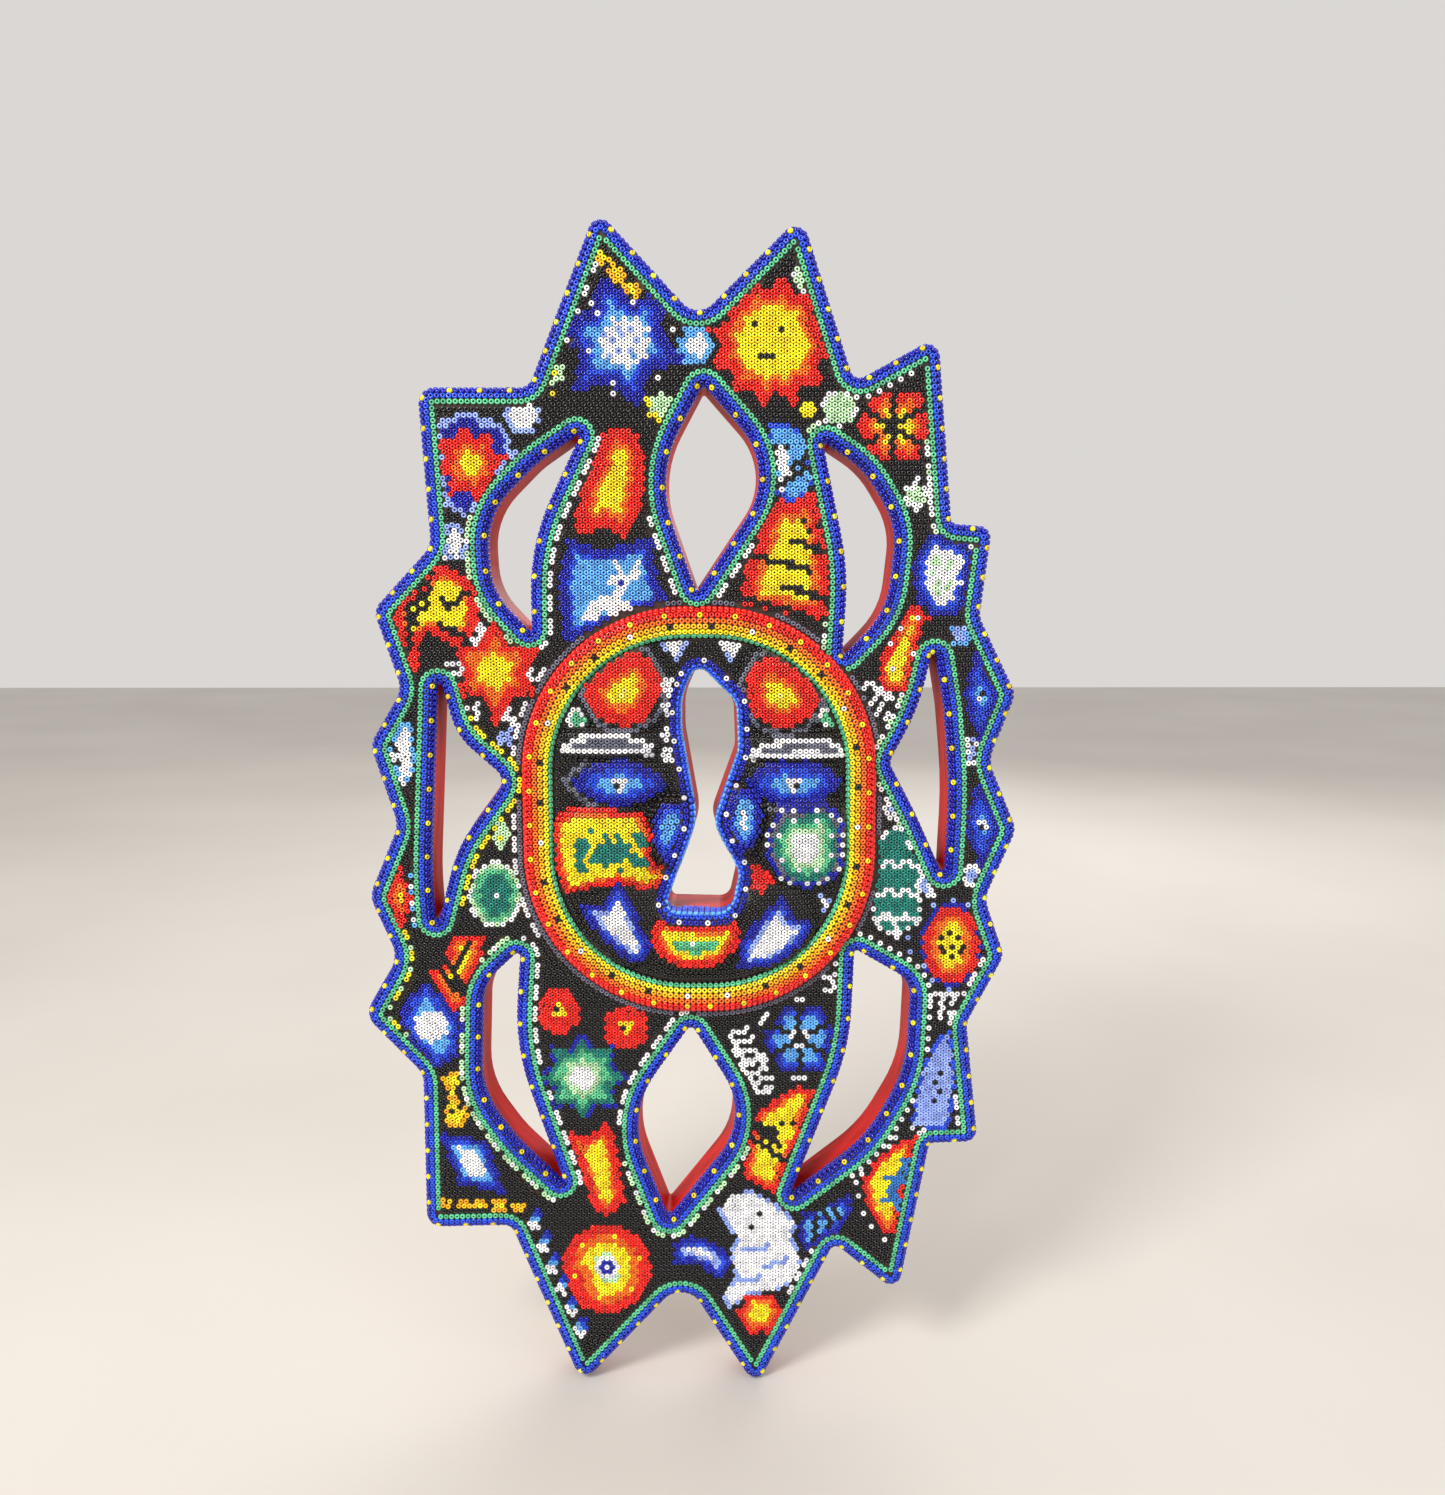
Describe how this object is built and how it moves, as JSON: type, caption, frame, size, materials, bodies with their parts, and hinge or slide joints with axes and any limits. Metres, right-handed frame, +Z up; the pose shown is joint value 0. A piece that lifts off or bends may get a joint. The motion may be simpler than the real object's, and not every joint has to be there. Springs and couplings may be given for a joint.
{
  "type": "beaded wall panel",
  "caption": "Upright pierced wooden wall panel with a rounded mask in a raised ring, spiked outline and a front covered in coloured seed beads.",
  "frame": {"origin": "centre of the hanger's keyhole, in the plane of the flat back, where the panel hangs on its wall screw", "axes": "+Z up the panel as it hangs, +X to its right as seen from the front, -Y out of its beaded front"},
  "size_m": [0.2404, 0.0273, 0.433],
  "materials": {
    "painted_wood": "carved softwood with glossy red paint on its edges",
    "bare_wood": "bare carved softwood under the wax",
    "beeswax": "dark soft beeswax",
    "zinc_steel": "zinc-plated steel",
    "blue_beads": "opaque glossy glass seed beads",
    "light_blue_beads": "opaque glossy glass seed beads",
    "red_beads": "opaque glossy glass seed beads",
    "orange_beads": "opaque glossy glass seed beads",
    "yellow_beads": "opaque glossy glass seed beads",
    "green_beads": "opaque glossy glass seed beads",
    "white_beads": "opaque glossy glass seed beads",
    "black_beads": "opaque glossy glass seed beads"
  },
  "bodies": {
    "root": {"almond_rims": "blue_beads", "animal_patch": "light_blue_beads", "bar_figure_patch": "orange_beads", "bear_figure": "white_beads", "beeswax": "beeswax", "blue_figure_patches": "light_blue_beads", "blue_oval": "light_blue_beads", "blue_star": "light_blue_beads", "blue_stitches": "light_blue_beads", "brows": "white_beads", "carved_board": "painted_wood", "cheek_disc": "green_beads", "cheek_patches": "orange_beads", "deer_patch": "orange_beads", "diamonds": "blue_beads", "eagle_patch": "yellow_beads", "eyes": "blue_beads", "feather_patch": "green_beads", "flame_patches": "red_beads", "forehead_suns": "red_beads", "forehead_triangles": "white_beads", "green_oval": "green_beads", "green_star": "green_beads", "ground_beads": "black_beads", "half_round_patch": "orange_beads", "hanger_plate": "zinc_steel", "hanger_screws": "zinc_steel", "house_patch": "light_blue_beads", "jowl_stars": "blue_beads", "leaf_patch": "red_beads", "lizard": "yellow_beads", "lower_crescent_rims": "blue_beads", "mask_carving": "bare_wood", "mask_ground_beads": "black_beads", "mouth": "orange_beads", "nose_diamonds": "white_beads", "nose_wings": "light_blue_beads", "outer_rim_beads": "blue_beads", "outlined_star": "red_beads", "oval_flower": "orange_beads", "petal_flowers": "red_beads", "red_discs": "red_beads", "red_star": "red_beads", "ring_beads": "red_beads", "ring_moulding": "bare_wood", "round_flower": "white_beads", "serpent_patch": "yellow_beads", "side_slot_rims": "blue_beads", "slot_rim_beads": "blue_beads", "small_blue_flowers": "light_blue_beads", "small_white_flowers": "white_beads", "small_yellow_stars": "yellow_beads", "sun_face": "red_beads", "target_disc": "orange_beads", "upper_crescent_rims": "blue_beads", "valley_comb": "blue_beads", "white_combs": "white_beads", "yellow_stitches": "yellow_beads"}
  },
  "joints": []
}
